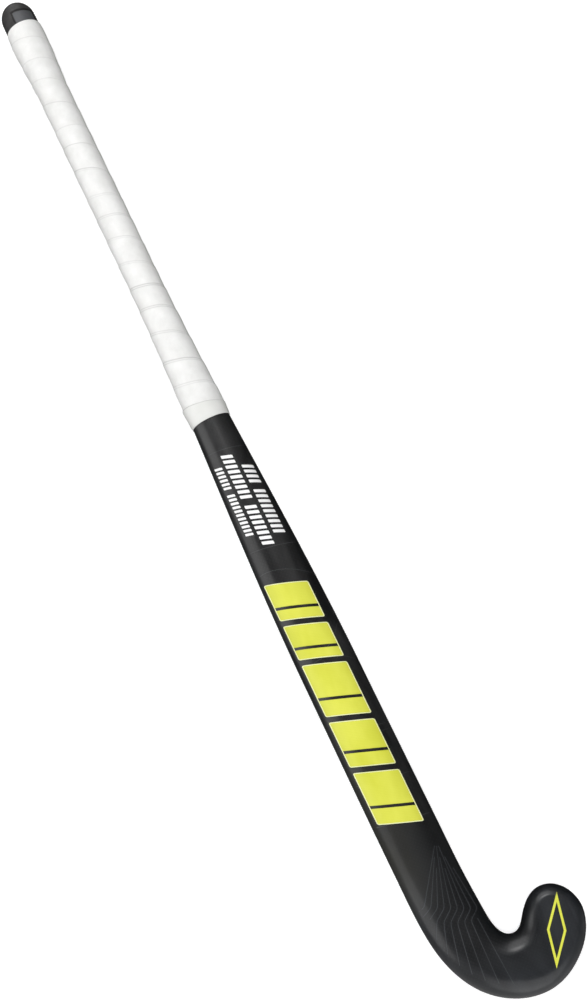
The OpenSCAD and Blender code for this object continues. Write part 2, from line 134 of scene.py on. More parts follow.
def shaft_sections(x):
    """Sections across the shaft: outer and inner points, their normals and the roundings."""
    x = np.asarray(x, float)
    h, k, zero = shell_w(x) / 2, taper(x), 0 * x
    return {"outer": np.stack([x, -h], 1), "inner": np.stack([x, h], 1),
            "out_n": np.stack([zero, zero + 1], 1), "in_n": np.stack([zero, zero - 1], 1),
            "out_back": h * ROUND_SHARE, "in_back": h * ROUND_SHARE,
            "face": mix(h * ROUND_SHARE, FACE_EDGE, k),
            "line": mix(HANDLE_D / 2, FACE_LINE, k)}


def ahead(heading):
    """Unit direction of a heading in degrees."""
    return np.array([math.cos(math.radians(heading)), math.sin(math.radians(heading))])


def edge_curve(a, b, f):
    """Point and direction at share f of the smooth curve between two points of an edge."""
    p, q = np.array(a[:2]), np.array(b[:2])
    handle = np.linalg.norm(q - p) * 2 / 3 / (1 + math.cos(math.radians(b[2] - a[2]) / 2))
    c, d, g = p + handle * ahead(a[2]), q - handle * ahead(b[2]), 1 - f
    return (g ** 3 * p + 3 * g * g * f * c + 3 * g * f * f * d + f ** 3 * q,
            3 * g * g * (c - p) + 6 * g * f * (d - c) + 3 * f * f * (q - d))


def stretch(a, b):
    """Length of the curve between two points of an edge, taken as an arc."""
    t = math.radians(abs(b[2] - a[2]) / 2)
    chord = math.hypot(b[0] - a[0], b[1] - a[1])
    return chord * (1 if t < 0.02 else t / math.sin(t))


def on_edge(edge, share):
    """Point and unit direction at a share of an edge's whole length."""
    lengths = [stretch(a, b) for a, b in zip(edge, edge[1:])]
    run, i = share * sum(lengths), 0
    while run > lengths[i] and i < len(lengths) - 1:
        run -= lengths[i]
        i += 1
    p, d = edge_curve(edge[i], edge[i + 1], min(1, run / lengths[i]))
    return p, d / np.linalg.norm(d)


# Along the head, as shares: how the outer edge lags behind the inner one, where the heel's rounding
# is full, and where each edge starts to take the toe's rounding and over what length
OUTER_PACE, HEEL_FULL = 1.1, 0.3
OUTER_TURN, INNER_TURN = (0.55, 0.4), (0.2, 0.6)


def head_sections(shares):
    """Sections round the hooked head; share 0 is its start and 1 the tip of the toe."""
    outer = [on_edge(OUTER, f ** OUTER_PACE) for f in shares]
    inner = [on_edge(INNER, f) for f in shares]
    start = HEAD_W / 2 * ROUND_SHARE
    heel = mix(start, HEEL_ROUND, ease(shares / HEEL_FULL))
    return {"outer": np.array([p for p, _ in outer]), "inner": np.array([p for p, _ in inner]),
            "out_n": np.array([(-d[1], d[0]) for _, d in outer]),
            "in_n": np.array([(d[1], -d[0]) for _, d in inner]),
            "out_back": mix(heel, TOE_ROUND, ease((shares - OUTER_TURN[0]) / OUTER_TURN[1])),
            "in_back": mix(start, TOE_ROUND, ease((shares - INNER_TURN[0]) / INNER_TURN[1])),
            "face": 0 * shares + FACE_EDGE, "line": 0 * shares + FACE_LINE}


def joined(a, b):
    """Two lots of sections as one."""
    return {k: np.concatenate([a[k], b[k]]) for k in a}


def half_profile(crown, back, face, flat, crowding=1.7):
    """Turn and share towards the middle for the points of half a ring, from back to face.

    The arguments count the steps over the back's middle, round its edge, round the lower edge and
    over the face, where the points crowd towards the edge.
    """
    turn = np.concatenate([np.full(crown, 90.0), np.linspace(90, 0, back + 1),
                           -np.linspace(0, 90, face + 1)[1:], np.full(flat, -90.0)])
    inward = np.concatenate([0.5 * (1 - np.arange(crown) / crown), np.zeros(back + face + 1),
                             0.5 * (np.arange(1, flat + 1) / flat) ** crowding])
    return np.radians(turn), inward


def ring_side(sec, side, profile, inset):
    """Points of half a ring on each section, inset from the skin."""
    turn, inward = profile
    near, far = ("outer", "inner") if side == 0 else ("inner", "outer")
    near_n, far_n = ("out_n", "in_n") if side == 0 else ("in_n", "out_n")
    back = sec["out_back" if side == 0 else "in_back"][:, None]
    t, v = turn[None, :], inward[None, :]
    reach = np.maximum(0.5, np.where(t >= 0, back, sec["face"][:, None]) - inset)
    d = (inset + reach * (1 - np.cos(t)))[..., None]
    own = sec[near][:, None, :] + sec[near_n][:, None, :] * d
    other = sec[far][:, None, :] + sec[far_n][:, None, :] * d
    p = own + (other - own) * v[..., None]
    line = sec["line"][:, None]
    high = (shell_t(p[..., 0], p[..., 1]) - inset - line) * np.sin(t)
    z = face_z(p[..., 0]) + line + np.where(t >= 0, high, (line - inset) * np.sin(t))
    return np.concatenate([p, z[..., None]], 2)


def rings(sec, profile, inset=0.0):
    """Points of the whole ring on each section, from the back's middle round by the outer side."""
    a = ring_side(sec, 0, profile, inset)
    b = ring_side(sec, 1, profile, inset)
    return np.concatenate([a, b[:, -2:0:-1]], 1)


# ---------------------------------------------------------------- mesh helpers

def grid(rows, cols, start=0, wrap=True):
    """Quads of a grid of points, closed round its columns where wrap is true."""
    r, c = np.meshgrid(np.arange(rows - 1), np.arange(cols if wrap else cols - 1), indexing="ij")
    a = start + r * cols + c
    b = start + r * cols + (c + 1) % cols
    return np.stack([a, b, b + cols, a + cols], -1).reshape(-1, 4)


def loop_band(a, b, n):
    """Quads between two closed loops of n points that start at a and b."""
    j = np.arange(n)
    k = (j + 1) % n
    return np.stack([a + j, a + k, b + k, b + j], -1)


def piece(name, points, faces, material, nodes, sharp=35, weld=0.002, weights=None):
    """A mesh piece in design coordinates, welded, turned outward and tied to the frame.

    Edges sharper than sharp, in degrees, stay sharp. weights go to the attribute edge_line, which
    some materials read.
    """
    points = (np.asarray(points).reshape(-1, 3) + ORIGIN) * MM
    mesh = bpy.data.meshes.new(name)
    mesh.from_pydata(points.tolist(), [], faces.tolist() if hasattr(faces, "tolist") else faces)
    if weights is not None:
        layer = mesh.attributes.new("edge_line", "FLOAT", "POINT")
        layer.data.foreach_set("value", np.asarray(weights, np.float32).ravel())
    bm = bmesh.new()
    bm.from_mesh(mesh)
    bmesh.ops.remove_doubles(bm, verts=bm.verts, dist=weld * MM)
    bmesh.ops.dissolve_degenerate(bm, edges=bm.edges, dist=weld * MM / 2)
    loose = [v for v in bm.verts if not v.link_faces]
    bmesh.ops.delete(bm, geom=loose, context="VERTS")
    bmesh.ops.recalc_face_normals(bm, faces=bm.faces)
    bm.to_mesh(mesh)
    bm.free()
    mesh.shade_smooth()
    mesh.set_sharp_from_angle(angle=math.radians(sharp))
    mesh.materials.append(material)
    obj = bpy.data.objects.new(name, mesh)
    bpy.context.scene.collection.objects.link(obj)
    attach(obj, "root")
    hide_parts(*nodes)


# ---------------------------------------------------------------- materials

class Nodes:
    """A small helper that adds and links shader nodes."""

    def __init__(self, name, **shader):
        self.material = bpy.data.materials.new(name)
        self.material.use_nodes = True
        self.tree = self.material.node_tree
        self.bsdf = self.tree.nodes["Principled BSDF"]
        self.coords = self.add("ShaderNodeTexCoord").outputs["Object"]
        for key, value in shader.items():
            self.bsdf.inputs[key.replace("_", " ")].default_value = value

    def add(self, kind, **settings):
        node = self.tree.nodes.new(kind)
        for key, value in settings.items():
            setattr(node, key, value)
        return node

    def put(self, socket, value):
        if isinstance(value, bpy.types.NodeSocket):
            self.tree.links.new(value, socket)
        else:
            socket.default_value = value

    def scaled(self, x, y, z, turn=0.0):
        node = self.add("ShaderNodeMapping")
        self.put(node.inputs["Vector"], self.coords)
        node.inputs["Scale"].default_value = (x, y, z)
        node.inputs["Rotation"].default_value = (0, 0, math.radians(turn))
        return node.outputs["Vector"]

    def noise(self, scale, detail=3.0, rough=0.5, vector=None, distortion=0.0):
        node = self.add("ShaderNodeTexNoise")
        self.put(node.inputs["Vector"], vector or self.coords)
        for key, value in (("Scale", scale), ("Detail", detail), ("Roughness", rough),
                           ("Distortion", distortion)):
            node.inputs[key].default_value = value
        return node.outputs["Fac"]

    def cells(self, scale):
        node = self.add("ShaderNodeTexVoronoi")
        self.put(node.inputs["Vector"], self.coords)
        node.inputs["Scale"].default_value = scale
        return node.outputs["Distance"]

    def wave(self, scale, vector, distortion=0.0, direction="X"):
        node = self.add("ShaderNodeTexWave", bands_direction=direction)
        self.put(node.inputs["Vector"], vector)
        node.inputs["Scale"].default_value = scale
        node.inputs["Distortion"].default_value = distortion
        return node.outputs["Fac"]

    def attribute(self, name):
        return self.add("ShaderNodeAttribute", attribute_name=name).outputs["Fac"]

    def along(self, axis):
        node = self.add("ShaderNodeSeparateXYZ")
        self.put(node.inputs[0], self.coords)
        return node.outputs[axis]

    def math(self, operation, a, b):
        node = self.add("ShaderNodeMath", operation=operation)
        self.put(node.inputs[0], a)
        self.put(node.inputs[1], b)
        return node.outputs[0]

    def span(self, value, low, high, to_low=0.0, to_high=1.0):
        """A value mapped from low..high to to_low..to_high, and held there outside."""
        node = self.add("ShaderNodeMapRange")
        self.put(node.inputs["Value"], value)
        for key, number in (("From Min", low), ("From Max", high), ("To Min", to_low),
                            ("To Max", to_high)):
            node.inputs[key].default_value = number
        return node.outputs["Result"]

    def zone(self, axis, start, full, full_end, end, most=1.0):
        """A band along an axis, in metres: it grows from start to full and fades to end."""
        place = self.along(axis)
        return self.math("MULTIPLY", self.span(place, start, full, 0, most),
                         self.span(place, end, full_end))

    def blend(self, factor, a, b):
        node = self.add("ShaderNodeMix", data_type="RGBA")
        self.put(node.inputs[0], factor)
        for socket, value in ((node.inputs[6], a), (node.inputs[7], b)):
            self.put(socket, value if isinstance(value, bpy.types.NodeSocket) else (*value, 1))
        return node.outputs[2]

    def bump(self, height, distance, strength, under=None):
        node = self.add("ShaderNodeBump")
        self.put(node.inputs["Height"], height)
        node.inputs["Distance"].default_value = distance
        node.inputs["Strength"].default_value = strength
        if under is not None:
            self.put(node.inputs["Normal"], under)
        return node.outputs["Normal"]

    def finish(self, colour, rough, normal, coat_normal=None):
        for key, value in (("Base Color", colour), ("Roughness", rough), ("Normal", normal)):
            self.put(self.bsdf.inputs[key], value)
        if coat_normal is not None:
            self.put(self.bsdf.inputs["Coat Normal"], coat_normal)
        return self.material


# Where the laminate's looks change, in metres of the row frame: where it turns bluer, the olive patch
# on the neck's heel side, and the painted shade that darkens it in front of the head's bend
HEAD_TINT = (0.30, 0.42)
NECK_X, NECK_Y = (0.21, 0.29, 0.33, 0.39), (-0.022, -0.04)
PAINTED_SHADE_X, PAINTED_SHADE_Y = (0.285, 0.33, 0.415, 0.445), (-0.050, -0.032, 0.008, 0.03)


def carbon():
    """Black laminate under a satin clear coat: faint twill and smoky sweeps.

    It turns bluer at the head and olive on the neck's heel side, and painted shade darkens it in front of
    the head's bend.
    """
    n = Nodes("carbon", Coat_Weight=0.5, Coat_Roughness=0.2, Specular_IOR_Level=0.5)
    tow = n.scaled(430, 430, 430, 45)
    twill = n.math("MULTIPLY", n.wave(0.32, tow, 0.4, "X"), n.wave(0.32, tow, 0.4, "Y"))
    smoke = n.noise(1.0, 5, 0.6, n.scaled(9, 30, 30, 24), 1.2)
    head = n.span(n.along("X"), *HEAD_TINT)
    black = n.blend(n.span(smoke, 0.40, 0.66), (0.0060, 0.0060, 0.0064), (0.024, 0.024, 0.0245))
    blue = n.blend(n.span(smoke, 0.38, 0.66), (0.0075, 0.0085, 0.0105), (0.022, 0.0245, 0.0285))
    colour = n.blend(head, black, blue)
    neck = n.math("MULTIPLY", n.zone("X", *NECK_X), n.span(n.along("Y"), *NECK_Y))
    olive = n.math("MULTIPLY", neck, n.span(smoke, 0.36, 0.6, 0.2, 1))
    colour = n.blend(olive, colour, (0.014, 0.0134, 0.0095))
    # Painted shade in front of the head's bend, fading out towards the heel side
    painted_shade = n.math("MULTIPLY", n.zone("X", *PAINTED_SHADE_X), n.zone("Y", *PAINTED_SHADE_Y, most=0.9))
    colour = n.blend(painted_shade, colour, (0.0058, 0.0062, 0.0068))
    colour = n.blend(n.span(twill, 0.15, 0.7, 0, 0.18), colour, (0.035, 0.036, 0.038))
    rough = n.math("ADD", n.span(n.noise(55, 4), 0.3, 0.7, 0.38, 0.48), n.span(twill, 0, 1, 0, 0.05))
    rough = n.math("ADD", rough, n.math("MULTIPLY", neck, 0.25))
    fine = n.bump(n.noise(900, 2), 0.00002, 0.35)
    normal = n.bump(twill, 0.00003, 0.35, fine)
    return n.finish(colour, rough, normal, n.bump(n.noise(160, 3), 0.00004, 0.25))


def polyurethane():
    """Soft white cushion tape: pores, mottling that is partly painted shade, and painted shade where one
    turn laps the other.
    """
    n = Nodes("polyurethane", Specular_IOR_Level=0.35)
    # Mottling: random tone, partly painted shade of puckers and wrinkles
    patch = n.blend(n.span(n.noise(75, 5, 0.6), 0.32, 0.68), (0.745, 0.745, 0.73), (0.84, 0.84, 0.83))
    worn = n.blend(n.span(n.noise(14, 5, 0.65), 0.50, 0.78, 0, 0.45), patch, (0.72, 0.715, 0.685))
    # Painted shade along the lapping edges, read from edge_line
    colour = n.blend(n.span(n.attribute("edge_line"), 0, 1, 0, 0.85), worn, (0.47, 0.47, 0.46))
    pores = n.span(n.cells(1100), 0.0, 0.5)
    creases = n.bump(n.noise(60, 4, 0.6, n.scaled(2.2, 0.8, 0.8, 20), 0.8), 0.0012, 0.5)
    soft = n.bump(n.noise(180, 3, 0.6, n.scaled(1, 2.5, 2.5)), 0.0003, 0.5, creases)
    rough = n.span(n.noise(300, 3), 0.3, 0.7, 0.5, 0.66)
    return n.finish(colour, rough, n.bump(pores, 0.00006, 0.5, soft))


def vinyl():
    """White adhesive tape, slightly creased, grey along its upper edge."""
    n = Nodes("vinyl", Coat_Weight=0.15, Coat_Roughness=0.25)
    colour = n.blend(n.span(n.noise(60, 4), 0.35, 0.7), (0.73, 0.735, 0.71), (0.79, 0.79, 0.77))
    edge = n.blend(n.span(n.attribute("edge_line"), 0, 1, 0, 0.9), colour, (0.42, 0.42, 0.41))
    creases = n.noise(90, 4, 0.6, n.scaled(1, 4, 4, 12))
    return n.finish(edge, n.span(n.noise(200, 2), 0.3, 0.7, 0.34, 0.45), n.bump(creases, 0.0002, 0.4))


def rubber():
    """Black rubber: painted shadow in the groove round the cap's window (edge_line 0), paler inside it
    (1).
    """
    n = Nodes("rubber", Specular_IOR_Level=0.5)
    mottle = n.blend(n.span(n.noise(150, 5, 0.6), 0.35, 0.7), (0.026, 0.025, 0.025), (0.048, 0.046, 0.045))
    # Painted shadow in the groove round the window
    groove_painted_shadow = n.blend(n.span(n.attribute("edge_line"), 0, 0.5), (0.006, 0.006, 0.006), mottle)
    colour = n.blend(n.span(n.attribute("edge_line"), 0.5, 1), groove_painted_shadow, (0.080, 0.082, 0.088))
    grain = n.bump(n.noise(2400, 3), 0.00005, 0.5)
    normal = n.bump(n.noise(260, 3), 0.0001, 0.3, grain)
    return n.finish(colour, n.span(n.noise(400, 3), 0.3, 0.7, 0.42, 0.6), normal)


def ink(name, low, high, coat=0.25, rough=(0.42, 0.52)):
    """Screen-printed ink under the clear coat, with a fine mesh grain and slight unevenness."""
    n = Nodes(name, Coat_Weight=coat, Coat_Roughness=0.3, Specular_IOR_Level=0.36)
    cloud = n.noise(22, 4, 0.55, n.scaled(1, 2, 1))
    mesh = n.wave(260, n.scaled(1, 1, 1, 20))
    tone = n.math("ADD", n.span(cloud, 0.3, 0.7, 0, 0.85), n.span(mesh, 0, 1, 0, 0.15))
    return n.finish(n.blend(tone, low, high), n.span(n.noise(300, 3), 0.3, 0.7, *rough),
                    n.bump(n.noise(1500, 2), 0.00002, 0.3))


def foam():
    """Yellowish rigid foam with open cells."""
    n = Nodes("foam")
    cell = n.cells(900)
    colour = n.blend(n.span(cell, 0.1, 0.6), (0.80, 0.74, 0.52), (0.60, 0.53, 0.33))
    return n.finish(colour, n.span(n.noise(300), 0.3, 0.7, 0.75, 0.95), n.bump(cell, 0.0006, 0.8))


def filler():
    """Dense moulded resin, mottled brown."""
    n = Nodes("filler")
    colour = n.blend(n.span(n.noise(220, 6, 0.7), 0.35, 0.65), (0.52, 0.40, 0.19), (0.40, 0.29, 0.12))
    rough = n.span(n.noise(90), 0.3, 0.7, 0.5, 0.7)
    return n.finish(colour, rough, n.bump(n.noise(500, 4), 0.0003, 0.6))


def woven(name, low, high, scale, rough):
    """Plain-woven cloth set in resin."""
    n = Nodes(name)
    warp = n.wave(scale, n.scaled(1, 1, 1, 45), 0.3, "X")
    weft = n.wave(scale, n.scaled(1, 1, 1, 45), 0.3, "Y")
    over = n.math("MULTIPLY", warp, weft)
    colour = n.blend(n.span(over, 0.05, 0.6), low, high)
    return n.finish(colour, n.span(n.noise(200), 0.3, 0.7, *rough), n.bump(over, 0.0002, 0.8))


def nylon():
    """Dark grey moulded plastic."""
    n = Nodes("nylon")
    colour = n.blend(n.span(n.noise(120, 4), 0.35, 0.65), (0.085, 0.092, 0.10), (0.12, 0.13, 0.14))
    rough = n.span(n.noise(300), 0.3, 0.7, 0.4, 0.55)
    return n.finish(colour, rough, n.bump(n.noise(1500), 0.00008, 0.5))


def backing():
    """Fibrous off-white film."""
    n = Nodes("backing")
    fibre = n.noise(300, 4, 0.6, n.scaled(0.3, 3, 3))
    colour = n.blend(n.span(fibre, 0.3, 0.7), (0.52, 0.52, 0.48), (0.66, 0.66, 0.61))
    return n.finish(colour, n.span(n.noise(150), 0.3, 0.7, 0.7, 0.85), n.bump(fibre, 0.0001, 0.5))


CARBON = carbon()
POLYURETHANE = polyurethane()
VINYL = vinyl()
RUBBER = rubber()
WHITE_INK = ink("white_ink", (0.82, 0.82, 0.82), (0.90, 0.90, 0.90))
LIME_INK = ink("lime_ink", (0.58, 0.60, 0.039), (0.70, 0.715, 0.086))
PALE_INK = ink("pale_ink", (0.82, 0.85, 0.38), (0.90, 0.92, 0.55))
GREY_INK = ink("grey_ink", (0.026, 0.028, 0.031), (0.044, 0.047, 0.052), 0.3, (0.4, 0.5))
HAZE_INK = ink("haze_ink", (0.020, 0.021, 0.022), (0.050, 0.052, 0.055), 0.3, (0.4, 0.5))

# ---------------------------------------------------------------- the shell

SHELL_RING = half_profile(5, 16, 8, 4)


def shell_rings(shaft_count, gap, head_count, inset=0.0):
    """Rings from the open end to the tip of the toe; gap is left before the head's first ring."""
    shaft = shaft_sections(np.linspace(-SHELL_END, -HEAD_START - gap, shaft_count))
    return rings(joined(shaft, head_sections(np.linspace(0, 1, head_count))), SHELL_RING, inset)


skin = shell_rings(330, 0.8, 190)
cavity = shell_rings(110, 4, 70, WALL)
ring_len = skin.shape[1]
skin_faces = grid(len(skin), ring_len)
cavity_at = len(skin) * ring_len
piece("moulded_shell", np.concatenate([skin.reshape(-1, 3), cavity.reshape(-1, 3)]),
      np.concatenate([skin_faces, grid(len(cavity), ring_len, cavity_at),
                      loop_band(0, cavity_at, ring_len)]),
      CARBON, ["shaft_shell"])

skin_tree = BVHTree.FromPolygons([Vector(p) for p in skin.reshape(-1, 3)], skin_faces.tolist())


def on_skin(x, y, lift):
    """Points over the back at plan positions x and y, raised along the skin's normal."""
    x, y = np.broadcast_arrays(np.asarray(x, float), np.asarray(y, float))
    out = np.zeros((x.size, 3))
    for i, (a, b) in enumerate(zip(x.ravel(), y.ravel())):
        hit, normal, _, _ = skin_tree.ray_cast(Vector((a, b, 100)), Vector((0, 0, -1)))
        if hit is None:
            raise ValueError(f"no skin under {a:.1f}, {b:.1f}")
        normal = normal if normal.z > 0 else -normal
        out[i] = hit + normal * lift
    return out.reshape(*x.shape, 3)


# ---------------------------------------------------------------- the grip

TURNS = 17
COLUMNS = 88                           # points round the handle
SEAM_START, SEAM_SCATTER = 14.0, 3.4   # first lapping edge before the grip's top, and unevenness
LIP_RUN, CROWN_H, PULL_H = 0.7, 0.12, 0.05     # slope of an edge, rise of a turn, its puckers
FOOT_SHARE = 0.22                      # share of its thickness that the grip keeps at its foot

# Rows of points on each turn: close together behind its lapping edge, in millimetres, and then at
# shares of the way from OPEN_FROM to the next turn's edge
CLOSE_ROWS = (0, 0.12, 0.28, 0.5, 0.8, 1.3, 1.9, 2.5, 3.2)
OPEN_FROM, OPEN_ROWS = 2.2, np.linspace(0.16, 0.965, 9)
PER_TURN = len(CLOSE_ROWS) + len(OPEN_ROWS)
BORE_ROWS = 60

grip_low, grip_high = -(STICK_LEN - CAP_LEN) + LIP_GAP, -GRIP_FOOT
seam_at = grip_low - SEAM_START + (grip_high - grip_low) / TURNS * np.arange(TURNS + 4)
seam_at = seam_at + rng.uniform(-SEAM_SCATTER, SEAM_SCATTER, len(seam_at))
# Strength of each turn's painted shade along its lapping edge and along the bevel behind it, both weaker
# towards the butt
lap_shade = rng.uniform(0.35, 1.0, TURNS + 4) * np.linspace(0.6, 1.1, TURNS + 4)
bevel_shade = rng.uniform(0.3, 0.9, TURNS + 4) * ease(np.linspace(-0.3, 1.6, TURNS + 4))
around = np.arange(COLUMNS) / COLUMNS


def seam_x(k, c):
    """Where the edge of turn k crosses column c; the last column meets the next turn's first."""
    bend = (2.4 + 0.9 * np.sin(2 * np.pi * c + k * 1.7)) * np.sin(np.pi * c) ** 2
    return seam_at[k] + (seam_at[k + 1] - seam_at[k]) * c + bend


def grip_height(x, c, k):
    """Height of turn k over the turn below it at x, and how dark the painted shade by its lapping edge is
    there.
    """
    edge = seam_x(k, c)
    width = seam_x(k + 1, c) - edge
    run = x - edge
    lip = ease(run / LIP_RUN)
    fall = 1 - ease((run - 1.2) / (width * 0.75))
    crown = CROWN_H * np.sin(np.pi * np.clip(run / width, 0, 1))
    pull = PULL_H * np.sin(run * 0.55 + k) * np.sin(2 * np.pi * c * 3 + k * 2.1)
    # Painted shade: a grey line under the lapping edge and a fainter one along the bevel behind it
    lap_painted_shade = np.exp(-((run - 0.15) / 0.5) ** 2) * lap_shade[k]
    bevel_painted_shade = np.exp(-((run - 1.9) / 0.4) ** 2) * bevel_shade[k]
    return WRAP_STEP * lip * fall + (crown + pull) * ease(run / 4), lap_painted_shade + bevel_painted_shade


def over_handle(x, height, share):
    """Points over the shell at distance x, a height out from it, and a share round it."""
    h, k = shell_w(x) / 2, taper(x)
    angle = 2 * np.pi * share
    back, face = h * ROUND_SHARE + height, mix(h * ROUND_SHARE, FACE_EDGE, k) + height
    line = mix(HANDLE_D / 2, FACE_LINE, k)
    side, up = -np.cos(angle), np.sin(angle)
    reach = np.where(up >= 0, back, face)
    flat = np.maximum(0, h + height - reach)
    y = np.sign(side) * (flat * np.minimum(1, np.abs(side) * 6) + reach * np.abs(side))
    top = (mix(HANDLE_D, SHAFT_T, k) + height - line) * up
    low = (line + height) * up
    return np.stack([x, y, face_z(x) + line + np.where(up >= 0, top, low)], -1)


def foot_thin(x):
    """How much of the grip's thickness is left at x, where it is cut thin under the tape."""
    return mix(FOOT_SHARE, 1, ease((-x - GRIP_FOOT + 1) / (TAPE_TOP - GRIP_FOOT + 1)))


def grip_top(x):
    """Height of the wound tape over the handle at x, one for each column, and its painted shade."""
    turn = np.full(COLUMNS, -1)
    for k in range(TURNS + 3):
        turn = np.where(x >= seam_x(k, around) - 1e-9, k, turn)
    extra, grey = grip_height(x, around, np.maximum(turn, 0))
    return under_wrap(-x) + (WRAP_T + extra) * foot_thin(x), grey


def turn_rows():
    """Places, heights and painted shade of the rows of all turns, close together at each lapping edge."""
    xs, heights, row_painted_shades = [], [], []
    for k in range(TURNS + 2):
        a, b = seam_x(k, around), seam_x(k + 1, around)
        steps = [a + s for s in CLOSE_ROWS] + [mix(a + OPEN_FROM, b, f) for f in OPEN_ROWS]
        for x in steps:
            x = np.clip(x, grip_low, grip_high)
            height, grey = grip_top(x)
            xs.append(x)
            heights.append(height)
            row_painted_shades.append(grey)
    return np.array(xs), np.array(heights), np.array(row_painted_shades)


# The last column's rows join the rows of the next turn, so the faces run on as one spiral
grip_x, grip_h, grip_painted_shade = turn_rows()
turns = over_handle(grip_x, grip_h, np.broadcast_to(around, grip_x.shape))
row, column = np.meshgrid(np.arange(len(grip_x) - PER_TURN - 1), np.arange(COLUMNS), indexing="ij")
beside = (column + 1) % COLUMNS
beside_row = row + np.where(column == COLUMNS - 1, PER_TURN, 0)
spiral = np.stack([row * COLUMNS + column, beside_row * COLUMNS + beside,
                   (beside_row + 1) * COLUMNS + beside, (row + 1) * COLUMNS + column], -1).reshape(-1, 4)
bore_x = np.repeat(np.linspace(grip_low, grip_high, BORE_ROWS)[:, None], COLUMNS, 1)
bore = over_handle(bore_x, under_wrap(-bore_x), np.broadcast_to(around, bore_x.shape))
ends = [over_handle(x, grip_top(x)[0], around)
        for x in (np.full(COLUMNS, grip_low), np.full(COLUMNS, grip_high))]
ends_at = grip_x.size
bore_at = ends_at + 2 * COLUMNS
grip_points = np.concatenate([turns.reshape(-1, 3), *ends, bore.reshape(-1, 3)])
grip_faces = np.concatenate([
    spiral, grid(BORE_ROWS, COLUMNS, bore_at), loop_band(ends_at, bore_at, COLUMNS),
    loop_band(ends_at + COLUMNS, bore_at + (BORE_ROWS - 1) * COLUMNS, COLUMNS)])
# The painted shade along the lapping edges goes to edge_line
grip_weights = np.concatenate([grip_painted_shade.ravel(), np.zeros(len(grip_points) - grip_painted_shade.size)])
piece("wound_grip", grip_points, grip_faces, POLYURETHANE, ["grip_wrap"],
      weights=grip_weights, sharp=60)

# ---------------------------------------------------------------- the finishing tape

TAPE_T, TAPE_LEAN = 0.4, 7.0
TAPE_BED = WRAP_T + 0.45     # thickness of the grip under the tape, before its thinning
middle_x = np.linspace(-TAPE_TOP + 0.8, -TAPE_FOOT - 0.8, 22)
tape_x = np.array([-TAPE_TOP, -TAPE_TOP + 0.05, -TAPE_TOP + 0.25, *middle_x,
                   -TAPE_FOOT - 0.35, -TAPE_FOOT - 0.1, -TAPE_FOOT])
thick = TAPE_T * np.array([0.25, 0.6, 0.9, *np.ones(len(middle_x)), 1.25, 1.1, 0.4])
share_left = (-TAPE_FOOT - tape_x) / (TAPE_TOP - TAPE_FOOT)
tape_grid = tape_x[:, None] + share_left[:, None] * TAPE_LEAN * np.sin(np.pi * around) ** 2
ring_share = np.broadcast_to(around, tape_grid.shape)
ripple = 0.05 * np.sin(2 * np.pi * ring_share * 3 + tape_grid * 0.5)
over_grip = under_wrap(-tape_grid) + TAPE_BED * foot_thin(tape_grid)
over_shell = mix(under_wrap(GRIP_FOOT) + TAPE_BED * FOOT_SHARE, CLEAR, ease((tape_grid - grip_high) / 4))
bed = np.where(tape_grid < grip_high, over_grip, over_shell)
tape_points = np.concatenate([over_handle(tape_grid, height, ring_share).reshape(-1, 3)
                              for height in (bed + thick[:, None] + ripple, bed)])
rows = len(tape_x)
tape_faces = np.concatenate([grid(rows, COLUMNS), grid(rows, COLUMNS, rows * COLUMNS),
                             loop_band(0, rows * COLUMNS, COLUMNS),
                             loop_band((rows - 1) * COLUMNS, (2 * rows - 1) * COLUMNS, COLUMNS)])
tape_edge = np.repeat(np.exp(-((tape_x + TAPE_TOP) / 0.5) ** 2), COLUMNS)
piece("foot_tape", tape_points, tape_faces, VINYL, ["finishing_tape"],
      weights=np.tile(tape_edge, 2), sharp=60)

# ---------------------------------------------------------------- the end cap

def axis_height(x):
    return face_z(x) + HANDLE_D / 2


axis_tilt = math.atan((axis_height(-AXIS_FROM) - axis_height(-SHELL_END)) / (SHELL_END - AXIS_FROM))
along = np.array([math.cos(axis_tilt), 0, math.sin(axis_tilt)])
upward = np.array([-math.sin(axis_tilt), 0, math.cos(axis_tilt)])
butt = np.array([-SHELL_END, 0, float(axis_height(-SHELL_END))]) - along * (STICK_LEN - SHELL_END)


def on_axis(depth, radius, angle):
    """Points round the handle's axis; angle 0 is straight up and grows towards the toe."""
    return (butt + depth[..., None] * along + (radius * np.cos(angle))[..., None] * upward
            + (radius * np.sin(angle))[..., None] * np.array([0, 1, 0]))


# The cap's shallow window: its start from the butt, its two sides in degrees, its depth and the
# widths over which its sides slope
PANEL_TOP, PANEL_LEFT, PANEL_RIGHT, PANEL_DEPTH = 15.0, -16.0, 78.0, 0.9
LEFT_SLOPE, RIGHT_SLOPE = 2.2, 8.0
RIB_STEP, RIB_DEPTH, RIBS_FROM, RIBS_TO = 1.9, 0.16, 4.0, 27.0
NUB = 0.5              # how far the dome's middle stands out
DOME_ROWS, SIDE_ROWS, SKIRT_ROWS = 46, 44, 20
LIP_R, LIP_D = CAP_R + 0.2, CAP_LEN - LIP_GAP
CAP_BORE, SEAT_GAP = HANDLE_D / 2 + CAP_CLEAR, 1.5

# The cap's outline as radius and depth from the butt: dome, side, skirt and the bore's two ends
cap_outline = [(CAP_R * math.sin(a), CAP_R * (1 - math.cos(a)))
               for a in np.radians(np.linspace(0, 90, DOME_ROWS))]
cap_outline += [(mix(CAP_R, LIP_R, f), mix(CAP_R, LIP_D, f)) for f in np.linspace(0.02, 1, SIDE_ROWS)]
cap_outline += [(CAP_BORE + SKIRT_T + float(collar(u)), STICK_LEN - u)
                for u in np.linspace(STICK_LEN - CAP_LEN - LIP_GAP, SKIRT_END, SKIRT_ROWS)]
cap_outline += [(CAP_BORE, STICK_LEN - SKIRT_END), (CAP_BORE, STICK_LEN - SHELL_END - SEAT_GAP)]
cap_r, cap_d = np.array(cap_outline).T

